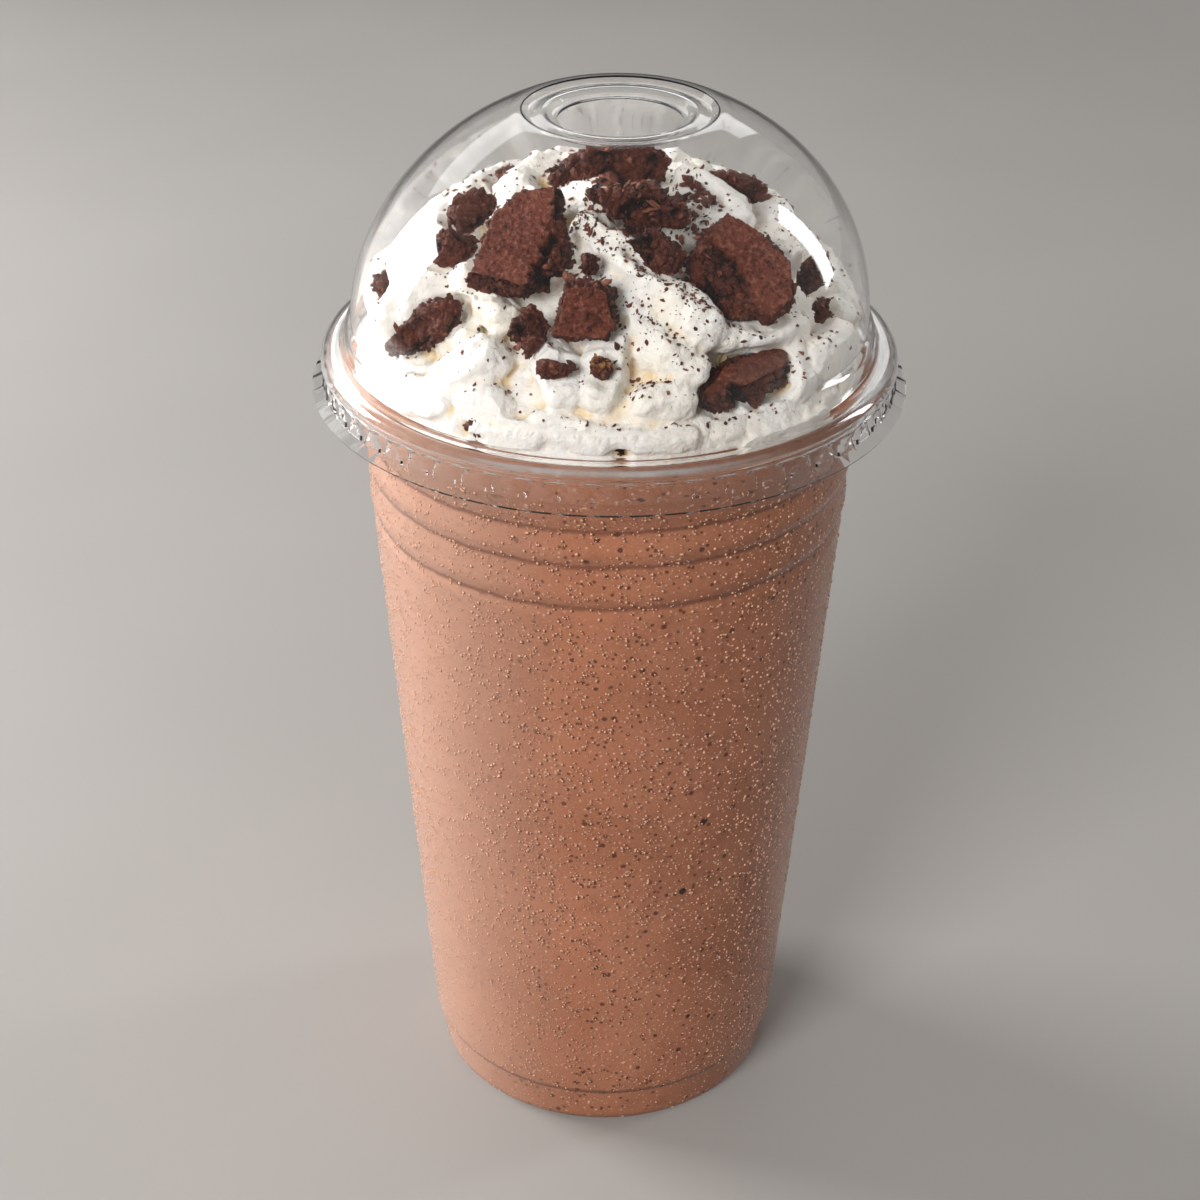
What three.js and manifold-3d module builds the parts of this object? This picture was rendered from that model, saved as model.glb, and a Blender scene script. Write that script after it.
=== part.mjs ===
// Chocolate milkshake in a clear plastic cup under a clear domed lid, topped with
// whipped cream and broken pieces of chocolate cookie.
// Units are millimetres, +Z is up, and the cup stands on z = 0 with its axis on the origin.

import * as THREE from 'three';
import { mergeVertices } from 'three/addons/utils/BufferGeometryUtils.js';
import Module from 'manifold-3d';

const wasm = await Module();
wasm.setup();

// Driving sizes of the cup
const RIM_RADIUS = 49;
const FOOT_RADIUS = 32;
const FOOT_STEP_HEIGHT = 8.2;
const FOOT_STEP = 0.7;
const FOOT_RING = 4.2;
const FOOT_ROUND = 1.4;
const FOOT_RECESS = 2.6;
const BODY_LOW_RADIUS = 33.5;
const BODY_HIGH_RADIUS = 43.2;
const BODY_LOW_HEIGHT = 9.2;
const BODY_HIGH_HEIGHT = 139;
const NECK_RADIUS = 45.9;
const NECK_HEIGHT = 147.2;
const NECK_LENGTH = 3.2;
const RIM_TOP = 150.4;
const WALL = 0.6;
const FLOOR_TOP = FOOT_RECESS + WALL;
const RIB_HEIGHTS = [120.9, 129.1, 135.9];
const RIB_DEPTH = 0.45;
const RIB_BULGE = 0.25;
const RIB_RISE = 2.2;

// Driving sizes of the lid
const LID_SHEET = 0.5;
const DOME_RADIUS = 44.15;
const DOME_RISE = 39.6;
const DOME_FOOT = 154.4;
const DOME_LEDGE = 1.2;
const HOLE_RADIUS = 10.4;
const HOLE_OFFSET = 1.4;
const TOP_RING_RADIUS = 15.2;
const TOP_RING_HEIGHT = 191.5;
const BEAD_RADIUS = 49.55;
const BEAD_TOP = 151.15;
const LOCK_WALL_TOP = BEAD_TOP - 3.4;
const SKIRT_RADIUS = 51.3;
const SKIRT_FOOT = 143.8;
const CRIMP_COUNT = 56;
const CRIMP_RADIUS = 0.95;
const CRIMP_HEIGHT = 3.1;
const CRIMP_INSET = 0.5;
const HOLE_RECESS = 1.2;
const TOP_BEAD_RISE = 0.5;

// Driving sizes of the contents
const SHAKE_TOP = 148.3;
const SHAKE_ROUND = 1.2;
const GAP = 0.3;
const CREAM_FOOT = 148.7;
const CREAM_RADIUS = 44.4;
const CREAM_BRIM = 1;
const CREAM_RISE = 29.5;
const HEAP_FULLNESS = 0.8;
const CRUMB_TRIES = 10;
const CRUMB_REACH = 38;
const CRUMB_SEED = 5;
const GOLDEN_ANGLE = Math.PI * (3 - Math.sqrt(5));

// Fineness of the round pieces
const SEGMENTS = 40;
const SHAKE_SEGMENTS = 32;
const DOME_STEPS = 6;
const CREAM_SIDES = 6;
const CREAM_SEGMENTS = 18;

const CLEAR_PLASTIC = { color: 0xf4f6f8, roughness: 0.06, metalness: 0, transparent: true, opacity: 0.3 };
const CHOCOLATE_DRINK = { color: 0x9a6650, roughness: 0.5, metalness: 0 };
const CREAM = { color: 0xfbf4e6, roughness: 0.55, metalness: 0 };
const COOKIE = { color: 0x43231b, roughness: 0.8, metalness: 0 };

const group = new THREE.Group();

// A repeatable source of numbers from 0 to 1.
function randomFrom(seed) {
  let state = seed >>> 0;
  return () => {
    state = (state + 0x6d2b79f5) >>> 0;
    let mixed = Math.imul(state ^ (state >>> 15), 1 | state);
    mixed = (mixed + Math.imul(mixed ^ (mixed >>> 7), 61 | mixed)) ^ mixed;
    return ((mixed ^ (mixed >>> 14)) >>> 0) / 4294967296;
  };
}

// Joins the shared vertices of a geometry and drops the triangles that collapse.
function weld(geometry) {
  geometry.deleteAttribute('normal');
  geometry.deleteAttribute('uv');
  const welded = mergeVertices(geometry, 1e-3);
  const kept = [];
  const index = welded.index.array;
  for (let i = 0; i < index.length; i += 3) {
    const [a, b, c] = [index[i], index[i + 1], index[i + 2]];
    if (a !== b && b !== c && c !== a) kept.push(a, b, c);
  }
  welded.setIndex(kept);
  return welded;
}

function toSolid(geometry) {
  const welded = weld(geometry);
  return new wasm.Manifold(new wasm.Mesh({
    numProp: 3,
    vertProperties: new Float32Array(welded.attributes.position.array),
    triVerts: new Uint32Array(welded.index.array),
  }));
}

function toGeometry(solid) {
  const mesh = solid.getMesh();
  const geometry = new THREE.BufferGeometry();
  geometry.setAttribute('position', new THREE.BufferAttribute(new Float32Array(mesh.vertProperties), 3));
  geometry.setIndex(Array.from(mesh.triVerts));
  return geometry;
}

// The largest closed body of a solid, without the loose scraps that cutting leaves.
function largestBody(solid) {
  const bodies = solid.decompose();
  return bodies.reduce((best, body) => (body.volume() > best.volume() ? body : best));
}

function addPart(name, geometry, look) {
  const welded = weld(geometry);
  welded.computeVertexNormals();
  const mesh = new THREE.Mesh(welded, new THREE.MeshStandardMaterial(look));
  mesh.name = name;
  group.add(mesh);
}

// Turns an outline of [radius, height] points about the Z axis.
function revolve(outline, segments = SEGMENTS) {
  const points = outline.map(([radius, height]) => new THREE.Vector2(radius, height));
  return new THREE.LatheGeometry(points, segments).rotateX(Math.PI / 2);
}

function bodyRadius(height) {
  const share = (height - BODY_LOW_HEIGHT) / (BODY_HIGH_HEIGHT - BODY_LOW_HEIGHT);
  return BODY_LOW_RADIUS + (BODY_HIGH_RADIUS - BODY_LOW_RADIUS) * share;
}

// The inside of the cup's foot, from its wall over the hollow ring that it stands on to the
// floor, set off from the plastic by the inset.
function footInside(inset) {
  const ringInside = FOOT_RADIUS - FOOT_RING;
  return [
    [FOOT_RADIUS - WALL - inset, FOOT_ROUND + 0.3],
    [FOOT_RADIUS - FOOT_ROUND - inset / 2, WALL + inset],
    [ringInside + 0.4 + inset / 2, WALL + inset],
    [ringInside - FOOT_ROUND + WALL + 0.2, FLOOR_TOP + inset],
    [0, FLOOR_TOP + inset],
  ];
}

// The outside of the cup's side wall, from the foot step up to the neck under the rim.
function wallOutline() {
  const outline = [
    [BODY_LOW_RADIUS - FOOT_STEP, FOOT_STEP_HEIGHT],
    [BODY_LOW_RADIUS, BODY_LOW_HEIGHT],
  ];
  for (const height of RIB_HEIGHTS) {
    outline.push([bodyRadius(height) - RIB_DEPTH, height]);
    outline.push([bodyRadius(height + RIB_RISE) + RIB_BULGE, height + RIB_RISE]);
  }
  outline.push([NECK_RADIUS - 0.5, NECK_HEIGHT - NECK_LENGTH]);
  outline.push([NECK_RADIUS, NECK_HEIGHT]);
  return outline;
}

function cup() {
  const outside = wallOutline();
  const inside = outside.map(([radius, height]) => [radius - WALL, height]).reverse();
  return revolve([
    [0, FOOT_RECESS],
    [FOOT_RADIUS - FOOT_RING - FOOT_ROUND, FOOT_RECESS],
    [FOOT_RADIUS - FOOT_RING, 0],
    [FOOT_RADIUS - FOOT_ROUND, 0],
    [FOOT_RADIUS, FOOT_ROUND],
    ...outside,
    [RIM_RADIUS - 1.9, NECK_HEIGHT + 0.3],
    [RIM_RADIUS, RIM_TOP - 1.5],
    [RIM_RADIUS - 1.2, RIM_TOP],
    [NECK_RADIUS + 0.2, RIM_TOP - 0.6],
    ...inside,
    ...footInside(0),
  ]);
}

// The milkshake fills the cup to its neck, clear of the wall and of its ribs by the gap.
function milkshake() {
  const inset = WALL + GAP;
  const [lowRib] = RIB_HEIGHTS;
  const side = [
    [BODY_LOW_RADIUS - FOOT_STEP, FOOT_STEP_HEIGHT],
    [BODY_LOW_RADIUS, BODY_LOW_HEIGHT],
    [bodyRadius(lowRib) - RIB_DEPTH, lowRib],
    [BODY_HIGH_RADIUS - RIB_DEPTH, BODY_HIGH_HEIGHT],
  ];
  return revolve([
    ...footInside(GAP).reverse(),
    ...side.map(([radius, height]) => [radius - inset, height]),
    [NECK_RADIUS - inset, SHAKE_TOP - SHAKE_ROUND / 2],
    [NECK_RADIUS - inset - SHAKE_ROUND, SHAKE_TOP],
    [0, SHAKE_TOP],
  ], SHAKE_SEGMENTS);
}

// A sheet of even thickness laid on both sides of its middle line, as a closed outline.
function sheetOutline(middle, thickness) {
  const outer = [];
  const inner = [];
  for (let i = 0; i < middle.length; i += 1) {
    const before = middle[Math.max(i - 1, 0)];
    const after = middle[Math.min(i + 1, middle.length - 1)];
    const along = new THREE.Vector2(after[0] - before[0], after[1] - before[1]).normalize();
    const offset = thickness / 2;
    outer.push([middle[i][0] - along.y * offset, middle[i][1] + along.x * offset]);
    inner.push([middle[i][0] + along.y * offset, middle[i][1] - along.x * offset]);
  }
  const closed = [...inner, ...outer.reverse()];
  closed.push(closed[0]);
  return closed;
}

// The middle line of the lid's sheet, from the straw hole out and down to the skirt.
function lidMiddle() {
  const middle = [
    [HOLE_RADIUS, TOP_RING_HEIGHT - HOLE_RECESS],
    [HOLE_RADIUS + 1.1, TOP_RING_HEIGHT - HOLE_RECESS],
    [HOLE_RADIUS + 2.1, TOP_RING_HEIGHT + TOP_BEAD_RISE],
    [HOLE_RADIUS + 3.2, TOP_RING_HEIGHT + TOP_BEAD_RISE - 0.1],
    [TOP_RING_RADIUS, TOP_RING_HEIGHT - 0.3],
  ];
  const start = Math.asin(TOP_RING_RADIUS / DOME_RADIUS);
  for (let step = 1; step <= DOME_STEPS; step += 1) {
    const angle = start + (Math.PI / 2 - start) * (step / DOME_STEPS);
    middle.push([DOME_RADIUS * Math.sin(angle), DOME_FOOT + DOME_LEDGE + DOME_RISE * Math.cos(angle)]);
  }
  middle.push([DOME_RADIUS + 1.0, DOME_FOOT + 0.3]);
  middle.push([DOME_RADIUS + 1.5, BEAD_TOP + 0.2]);
  middle.push([DOME_RADIUS + 2.5, BEAD_TOP - 0.1]);
  middle.push([BEAD_RADIUS - 1.5, BEAD_TOP]);
  middle.push([BEAD_RADIUS - 0.3, BEAD_TOP - 1.0]);
  middle.push([BEAD_RADIUS, BEAD_TOP - 2.6]);
  middle.push([BEAD_RADIUS - 0.35, LOCK_WALL_TOP]);
  middle.push([BEAD_RADIUS - 0.1, SKIRT_FOOT + 1.0]);
  middle.push([SKIRT_RADIUS, SKIRT_FOOT]);
  return middle;
}

// One dent that presses into the lid's wall under the bead: a cone standing on its tip.
function crimpDent(angle) {
  const dent = new THREE.ConeGeometry(CRIMP_RADIUS, CRIMP_HEIGHT, 4);
  dent.rotateX(-Math.PI / 2);
  dent.translate(BEAD_RADIUS - CRIMP_INSET + CRIMP_RADIUS, 0, LOCK_WALL_TOP + 0.1 - CRIMP_HEIGHT / 2);
  dent.rotateZ(angle);
  return dent;
}

// Moves the top of the dome, with its ring and its hole, a little off the cup's axis.
function shiftTop(geometry) {
  const place = geometry.attributes.position;
  for (let i = 0; i < place.count; i += 1) {
    const share = THREE.MathUtils.smoothstep(place.getZ(i), DOME_FOOT, TOP_RING_HEIGHT - 1.6);
    place.setX(i, place.getX(i) + HOLE_OFFSET * share);
  }
  return geometry;
}

function domeLid() {
  const outline = sheetOutline(lidMiddle(), LID_SHEET);
  let lid = toSolid(shiftTop(revolve(outline)));
  for (let i = 0; i < CRIMP_COUNT; i += 1) {
    const angle = (2 * Math.PI * (i + 0.5)) / CRIMP_COUNT;
    lid = lid.subtract(toSolid(crimpDent(angle)));
  }
  return lid;
}

// The room under the lid, which all the toppings stay inside.
function roomUnderLid() {
  const clear = LID_SHEET / 2 + GAP;
  const outline = [[0, CREAM_FOOT], [CREAM_RADIUS, CREAM_FOOT], [CREAM_RADIUS, DOME_FOOT - 1]];
  const rise = DOME_RISE - HOLE_RECESS - 2;
  for (let step = DOME_STEPS; step >= 0; step -= 1) {
    const angle = (Math.PI / 2) * (step / DOME_STEPS);
    outline.push([(DOME_RADIUS - 2 * clear) * Math.sin(angle), DOME_FOOT + rise * Math.cos(angle)]);
  }
  return toSolid(revolve(outline, CREAM_SEGMENTS));
}

// Height of the heap of cream over the point x, y.
function heapHeight(x, y) {
  const reach = Math.min(1, (x * x + y * y) / CREAM_RADIUS ** 2);
  return CREAM_FOOT + CREAM_BRIM + CREAM_RISE * (1 - reach) ** HEAP_FULLNESS;
}

// A rope of cream with round ends, piped along points, each of them [x, y, height over the heap].
function rope(points, radius) {
  const path = new THREE.CatmullRomCurve3(
    points.map(([x, y, lift]) => new THREE.Vector3(x, y, heapHeight(x, y) + lift)),
  );
  const length = path.getLength();
  const middle = Math.max(0.1, length - 2 * radius);
  const rows = Math.max(1, Math.round(middle / (radius * 1.9)));
  const geometry = new THREE.CapsuleGeometry(radius, middle, 2, CREAM_SIDES, rows);
  const place = geometry.attributes.position;
  const up = new THREE.Vector3(0, 0, 1);
  for (let i = 0; i < place.count; i += 1) {
    const share = THREE.MathUtils.clamp(place.getY(i) / (middle + 2 * radius) + 0.5, 0, 1);
    const along = path.getTangentAt(share);
    const side = new THREE.Vector3().crossVectors(up, along).normalize();
    const over = new THREE.Vector3().crossVectors(along, side);
    const spot = path.getPointAt(share);
    spot.addScaledVector(side, place.getZ(i)).addScaledVector(over, place.getX(i));
    place.setXYZ(i, spot.x, spot.y, spot.z);
  }
  return geometry;
}

// A ring of cream that winds once round the heap, rising and swelling as it goes.
function coil(radius, thickness, lift, turns, startAngle) {
  const points = [];
  const steps = Math.round(9 * turns);
  for (let i = 0; i <= steps; i += 1) {
    const angle = startAngle + (2 * Math.PI * turns * i) / steps;
    const wave = 1.1 * Math.sin(3 * angle + radius);
    points.push([(radius + wave) * Math.cos(angle), (radius + wave) * Math.sin(angle), lift]);
  }
  return rope(points, thickness);
}

// The smooth body of the heap, under the ropes.
function heapCore() {
  const outline = [[0, CREAM_FOOT]];
  const sunk = 4.5;
  outline.push([CREAM_RADIUS - 0.4, CREAM_FOOT]);
  for (const share of [0.97, 0.84, 0.66, 0.42, 0]) {
    const radius = CREAM_RADIUS * share;
    outline.push([radius, heapHeight(radius, 0) - sunk * (1 - share ** 4)]);
  }
  return revolve(outline, CREAM_SEGMENTS);
}

const CREAM_ROPES = [
  { points: [[-5, -13, 0.2], [4, -24, 1.4], [11, -29, 1.6], [17.5, -31.5, 1.8]], radius: 3.9 },
  { points: [[-4, -22, -0.6], [4, -30, 0], [12, -35, 0.4]], radius: 3.6 },
  { points: [[15, -29, -1], [22, -26.5, -0.4], [30, -21, -0.6]], radius: 4 },
  { points: [[-37, -16, -2], [-31, -14, 0], [-24, -17, 0.8]], radius: 5.8 },
  { points: [[-28, -29, -3.2], [-22, -30.5, -1.6], [-16, -31, -0.4]], radius: 5 },
  { points: [[-24, -34.5, -1.8], [-15, -37, -0.8]], radius: 4.8 },
  { points: [[-9, -33, -0.4], [-8, -38.5, -1]], radius: 5 },
  { points: [[-0.5, -33, -0.4], [1, -39.5, -1.2]], radius: 4.8 },
  { points: [[7, -35, 0], [10.5, -39.5, -1.4]], radius: 4.6 },
  { points: [[30, -25, -1], [36, -18, -0.8], [38, -10, -1.4]], radius: 5 },
  { points: [[9, 4, 0.4], [16, -1, 1], [22, -8, 0.2]], radius: 4.4 },
];

const CREAM_COILS = [
  { radius: 38.2, thickness: 5.4, lift: -1.8, turns: 0.6, start: -0.2 },
  { radius: 28, thickness: 5.4, lift: -0.8, turns: 0.72, start: -0.5 },
  { radius: 15.5, thickness: 5.2, lift: -1.4, turns: 0.8, start: -1.1 },
  { radius: 5.5, thickness: 4.8, lift: -1.6, turns: 0.75, start: 0.4 },
];

// Gives a welded geometry an uneven, broken surface by moving each vertex a little.
function roughen(geometry, amount, random) {
  const place = geometry.attributes.position;
  for (let i = 0; i < place.count; i += 1) {
    place.setXYZ(
      i,
      place.getX(i) + amount * (random() - 0.5),
      place.getY(i) + amount * (random() - 0.5),
      place.getZ(i) + amount * (random() - 0.5),
    );
  }
  return geometry;
}

// A flat broken piece, cut to an outline in its own X and Z and as thick as given along Y.
function slabPiece({ outline, thick, seed }, grow) {
  const shape = new THREE.Shape(outline.map(([x, z]) => new THREE.Vector2(x, z)));
  const bevel = 0.9;
  const geometry = weld(new THREE.ExtrudeGeometry(shape, {
    depth: thick - 2 * bevel,
    steps: 1,
    bevelEnabled: true,
    bevelSize: bevel,
    bevelOffset: -bevel,
    bevelThickness: bevel,
    bevelSegments: 1,
  }));
  geometry.translate(0, 0, bevel - thick / 2);
  geometry.rotateX(Math.PI / 2);
  roughen(geometry, 0.7, randomFrom(seed));
  geometry.computeBoundingBox();
  return growBy(geometry, grow);
}

// A lump broken on all sides: a round body with flats where other pieces came away.
function cragPiece({ half, seed, detail = 1, flats = 5, boxy = 0.75 }, grow) {
  const random = randomFrom(seed);
  const geometry = weld(new THREE.IcosahedronGeometry(1, detail));
  const place = geometry.attributes.position;
  const cuts = [];
  for (let i = 0; i < flats; i += 1) {
    const normal = new THREE.Vector3(random() - 0.5, random() - 0.5, random() - 0.5).normalize();
    cuts.push({ normal, reach: 0.62 + 0.2 * random() });
  }
  const spot = new THREE.Vector3();
  for (let i = 0; i < place.count; i += 1) {
    spot.fromBufferAttribute(place, i);
    spot.set(...spot.toArray().map((value) => Math.sign(value) * Math.abs(value) ** boxy));
    for (const { normal, reach } of cuts) {
      const over = spot.dot(normal) - reach;
      if (over > 0) spot.addScaledVector(normal, -over * 0.85);
    }
    spot.multiplyScalar(1 + 0.16 * (random() - 0.5));
    place.setXYZ(i, spot.x * half[0], spot.y * half[1], spot.z * half[2]);
  }
  return growBy(geometry, grow);
}

// An oval cookie piece, split along its length where its filling came away.
function splitPiece({ half, seed, furrow, detail = 3 }, grow) {
  const random = randomFrom(seed);
  const geometry = weld(new THREE.IcosahedronGeometry(1, detail));
  const place = geometry.attributes.position;
  for (let i = 0; i < place.count; i += 1) {
    const [x, y, z] = [place.getX(i), place.getY(i), place.getZ(i)];
    const facing = Math.max(0, -y);
    const groove = furrow * facing * Math.exp(-((z / 0.32) ** 2)) * Math.max(0, 1 - x * x);
    const uneven = 1 + 0.12 * (random() - 0.5);
    place.setXYZ(i, x * half[0] * uneven, (y + groove) * half[1] * uneven, z * half[2] * uneven);
  }
  return growBy(geometry, grow);
}

// Makes a piece larger by about the given amount all round, for the pocket that it lies in.
function growBy(geometry, amount) {
  geometry.computeBoundingBox();
  const size = geometry.boundingBox.getSize(new THREE.Vector3());
  const middle = geometry.boundingBox.getCenter(new THREE.Vector3());
  const scale = size.toArray().map((side) => 1 + (2 * amount) / side);
  geometry.translate(-middle.x, -middle.y, -middle.z).scale(...scale);
  return geometry.translate(middle.x, middle.y, middle.z);
}

// The pieces of broken cookie: where each one's middle is and how it leans (back from the
// front), turns (about Z) and rolls (in its own face), in degrees.
const COOKIE_PIECES = [
  {
    name: 'chunk_top', make: slabPiece, seed: 11, thick: 5.6,
    at: [-0.6, 0.2, 182.6], lean: 8, turn: 0, roll: 0,
    outline: [
      [-10.4, -3.4], [-5.4, -5.0], [-1.3, -4.4], [9.8, -3.0], [10.8, 0.6], [7.4, 4.1], [-0.8, 3.8], [-10, -1],
    ],
  },
  {
    name: 'chunk_left', make: slabPiece, seed: 12, thick: 6,
    at: [-13.6, -20.4, 177.0], lean: 47, turn: -14, roll: 0,
    outline: [
      [-8, -8.6], [-1, -9.2], [1.7, -9.9], [5.2, -7.2], [8.6, -2.9],
      [5.8, 4.2], [4.2, 9.6], [-1.6, 8], [-6, 3],
    ],
  },
  {
    name: 'chunk_front', make: slabPiece, seed: 13, thick: 5,
    at: [-3.6, -33.2, 170.6], lean: 20, turn: -6, roll: -4,
    outline: [[-5, -4.8], [4, -4.4], [5.6, -1.4], [3.4, 4.2], [1.4, 5], [-4.6, 4.6]],
  },
  {
    name: 'chunk_right', make: slabPiece, seed: 14, thick: 7,
    at: [20.6, -21.6, 172.8], lean: 36, turn: 16, roll: 0,
    outline: [
      [-7.4, -2.6], [-3.2, -7.6], [2.6, -10], [7.6, -6.6], [8.2, 0.4],
      [3.4, 6], [-1.2, 9.8], [-4.4, 7], [-8.4, 3],
    ],
  },
  {
    name: 'chunk_crumbly', make: cragPiece, seed: 15, detail: 2,
    at: [3.6, -17.0, 181.6], half: [9.4, 3.8, 3.6], lean: 20, turn: -8, roll: -6,
  },
  {
    name: 'chunk_crumbly_low', make: cragPiece, seed: 16,
    at: [7.2, -25.0, 177.6], half: [5.6, 3.2, 3.6], lean: 20, turn: 10, roll: -42,
  },
  {
    name: 'chunk_back_right', make: cragPiece, seed: 17,
    at: [19.5, 2.0, 178.4], half: [7.4, 3.4, 2.8], lean: 0, turn: -12, roll: -12,
  },
  {
    name: 'chunk_back_left', make: cragPiece, seed: 18,
    at: [-25.6, -13.4, 173.2], half: [5, 4, 3.4], lean: 10, turn: -20, roll: 30,
  },
  {
    name: 'chunk_far_left', make: cragPiece, seed: 19,
    at: [-23, -3.6, 175.4], half: [5.2, 3.6, 3.6], lean: 0, turn: 10, roll: 35,
  },
  {
    name: 'chunk_split', make: splitPiece, seed: 20, detail: 2, furrow: 0.75,
    at: [-30.0, -23.7, 163.0], half: [8.2, 3, 3.8], lean: 24, turn: -32, roll: 44,
  },
  {
    name: 'chunk_glossy', make: splitPiece, seed: 21, detail: 2, furrow: -0.1,
    at: [21.4, -30.6, 157.4], half: [10.6, 3.8, 4.7], lean: 26, turn: 34, roll: 8,
  },
  {
    name: 'chunk_dark', make: cragPiece, seed: 22,
    at: [33.4, -10.6, 167.4], half: [3, 3, 4.2], lean: 0, turn: 20, roll: -14,
  },
  {
    name: 'chunk_dark_low', make: cragPiece, seed: 23,
    at: [34.8, -15.2, 163.2], half: [2.4, 2.4, 2.4], lean: 0, turn: 0, roll: 0,
  },
  {
    name: 'chunk_bump', make: cragPiece, seed: 24,
    at: [-3.4, -27.4, 176.0], half: [2, 2.2, 2.4], lean: 0, turn: 0, roll: 0,
  },
  {
    name: 'chunk_beside', make: cragPiece, seed: 25,
    at: [-13.0, -33.4, 167.2], half: [3.4, 2.4, 4.2], lean: 10, turn: 0, roll: -32,
  },
  {
    name: 'chunk_bar', make: cragPiece, seed: 26,
    at: [-8.4, -38.6, 163.2], half: [3.8, 1.9, 1.6], lean: 0, turn: -6, roll: 4,
  },
  {
    name: 'chunk_bar_end', make: cragPiece, seed: 27,
    at: [-1.6, -39.4, 163.4], half: [2.5, 2, 3], lean: 0, turn: 0, roll: 0,
  },
  {
    name: 'chunk_edge_left', make: cragPiece, seed: 28,
    at: [-37.4, -7.6, 163.6], half: [2.6, 3, 3], lean: 0, turn: 0, roll: 0,
  },
  {
    name: 'chunk_rim_left', make: cragPiece, seed: 29,
    at: [-21.4, -37.2, 152.0], half: [2.2, 1.6, 2], lean: 0, turn: -28, roll: 0,
  },
  {
    name: 'chunk_behind_left', make: cragPiece, seed: 31,
    at: [-15, 15.5, 174], half: [5.4, 3.6, 3.2], lean: -20, turn: 40, roll: 0,
  },
  {
    name: 'chunk_behind_right', make: cragPiece, seed: 32,
    at: [9, 23.5, 172.4], half: [6, 3.4, 3.4], lean: -30, turn: -16, roll: 10,
  },
  {
    name: 'chunk_behind_low', make: cragPiece, seed: 33,
    at: [-22, 27.5, 164.6], half: [4.4, 3, 3.4], lean: -30, turn: 40, roll: 0,
  },
  {
    name: 'chunk_behind_side', make: cragPiece, seed: 34,
    at: [29, 21, 165], half: [4.6, 3.2, 3], lean: -20, turn: -60, roll: 0,
  },
  {
    name: 'chunk_rim_front', make: cragPiece, seed: 30,
    at: [1.8, -42, 151.2], half: [2.2, 1.5, 1.3], lean: 0, turn: 0, roll: 0,
  },
];

// Places a piece: rolled in its own face, leaned back, turned about Z and moved to its spot.
function placed(piece, grow = 0) {
  const geometry = piece.make(piece, grow);
  geometry.rotateY(THREE.MathUtils.degToRad(-piece.roll));
  geometry.rotateX(THREE.MathUtils.degToRad(-piece.lean));
  geometry.rotateZ(THREE.MathUtils.degToRad(piece.turn));
  return geometry.translate(...piece.at);
}

// Crumbs large enough to be felt, lying on the cream between the pieces.
function crumbsOn(cream, random) {
  const surface = new THREE.Mesh(toGeometry(cream));
  const down = new THREE.Vector3(0, 0, -1);
  const crumbs = [];
  for (let i = 0; i < CRUMB_TRIES; i += 1) {
    const angle = GOLDEN_ANGLE * i + 0.6 * random();
    const radius = CRUMB_REACH * Math.sqrt((i + 0.5) / CRUMB_TRIES);
    const above = new THREE.Vector3(radius * Math.cos(angle), radius * Math.sin(angle), TOP_RING_HEIGHT);
    const [hit] = new THREE.Raycaster(above, down).intersectObject(surface);
    const crumb = weld(new THREE.IcosahedronGeometry(0.8 + 0.5 * random(), 0));
    crumb.scale(1.3, 1, 0.9).rotateZ(6 * random());
    crumb.translate(hit.point.x, hit.point.y, hit.point.z + 0.1);
    const solid = toSolid(crumb);
    const clear = COOKIE_PIECES.every((piece) => solid.intersect(toSolid(placed(piece, GAP))).isEmpty());
    if (clear) crumbs.push(solid);
  }
  return crumbs;
}

function whippedCream() {
  const pieces = [toSolid(heapCore())];
  for (const { points, radius } of CREAM_ROPES) {
    pieces.push(toSolid(rope(points, radius)));
  }
  for (const { radius, thickness, lift, turns, start } of CREAM_COILS) {
    pieces.push(toSolid(coil(radius, thickness, lift, turns, start)));
  }
  let cream = wasm.Manifold.union(pieces).intersect(roomUnderLid());
  for (const piece of COOKIE_PIECES) {
    cream = cream.subtract(toSolid(placed(piece, GAP)));
  }
  cream = largestBody(cream);
  const crumbs = crumbsOn(cream, randomFrom(CRUMB_SEED));
  return largestBody(wasm.Manifold.union([cream, ...crumbs]));
}

addPart('cup', cup(), CLEAR_PLASTIC);
addPart('milkshake', milkshake(), CHOCOLATE_DRINK);
addPart('whipped_cream', toGeometry(whippedCream()), CREAM);
addPart('dome_lid', toGeometry(domeLid()), CLEAR_PLASTIC);
for (const piece of COOKIE_PIECES) {
  addPart(piece.name, placed(piece), COOKIE);
}

export default group;
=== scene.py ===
"""A chocolate milkshake in a clear plastic cup under a clear domed lid, topped with whipped
cream and broken chocolate cookies. Sizes are written in millimetres and scaled by MM."""
import math
import random

import bmesh
import bpy
import numpy as np
from mathutils import Matrix, Vector, noise
from mathutils.bvhtree import BVHTree
from mathutils.kdtree import KDTree


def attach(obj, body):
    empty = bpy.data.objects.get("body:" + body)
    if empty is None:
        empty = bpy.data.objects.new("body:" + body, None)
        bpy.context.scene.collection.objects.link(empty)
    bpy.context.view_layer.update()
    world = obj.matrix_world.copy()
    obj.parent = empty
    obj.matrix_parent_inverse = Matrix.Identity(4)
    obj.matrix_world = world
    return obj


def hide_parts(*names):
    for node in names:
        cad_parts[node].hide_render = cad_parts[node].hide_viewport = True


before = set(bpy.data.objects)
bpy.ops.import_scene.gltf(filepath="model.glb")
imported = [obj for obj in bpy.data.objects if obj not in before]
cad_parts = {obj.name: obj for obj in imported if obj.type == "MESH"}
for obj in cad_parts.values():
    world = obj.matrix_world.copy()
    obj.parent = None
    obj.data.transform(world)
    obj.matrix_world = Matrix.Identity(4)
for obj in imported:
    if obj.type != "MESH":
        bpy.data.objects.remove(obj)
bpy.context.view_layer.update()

MM = 0.001
DRAW_SEED = 7

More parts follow.
